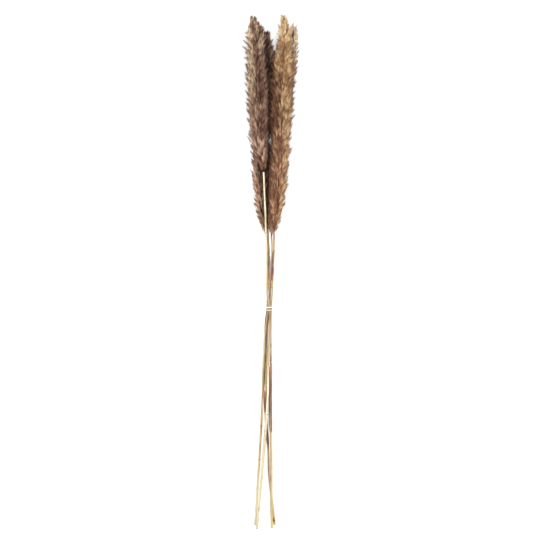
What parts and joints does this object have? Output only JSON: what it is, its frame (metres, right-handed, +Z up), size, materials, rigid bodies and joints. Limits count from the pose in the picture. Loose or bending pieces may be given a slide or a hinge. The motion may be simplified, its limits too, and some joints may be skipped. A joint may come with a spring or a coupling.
{
  "type": "bundle of dried pampas grass",
  "caption": "Slim bundle of dried pampas plumes on bare stems, tied with a white cord and lying flat.",
  "frame": {"origin": "on the supporting surface, under the middle of the bundle's bounding box", "axes": "+Y along the bundle from the cut stem ends to the plume tips, +X across it to the right, +Z up from the surface"},
  "size_m": [0.1194, 1.1054, 0.0764],
  "materials": {
    "plume_mauve": "soft hairy plume, dull",
    "plume_brown": "soft hairy plume, dull",
    "plume_gold": "soft hairy plume, dull",
    "straw": "smooth dry straw, slightly glossy",
    "dry_sheath": "papery dry leaf, matt",
    "white_cord": "smooth white cord"
  },
  "bodies": {
    "root": {"head_left": "plume_mauve", "head_middle": "plume_brown", "head_right": "plume_gold", "head_back": "plume_mauve", "stem_left": "straw", "stem_middle": "straw", "stem_right": "straw", "stem_back": "straw", "sheath_middle": "dry_sheath", "sheath_right_upper": "dry_sheath", "sheath_right_lower": "dry_sheath", "sheath_back": "dry_sheath", "tie": "white_cord"}
  },
  "joints": []
}
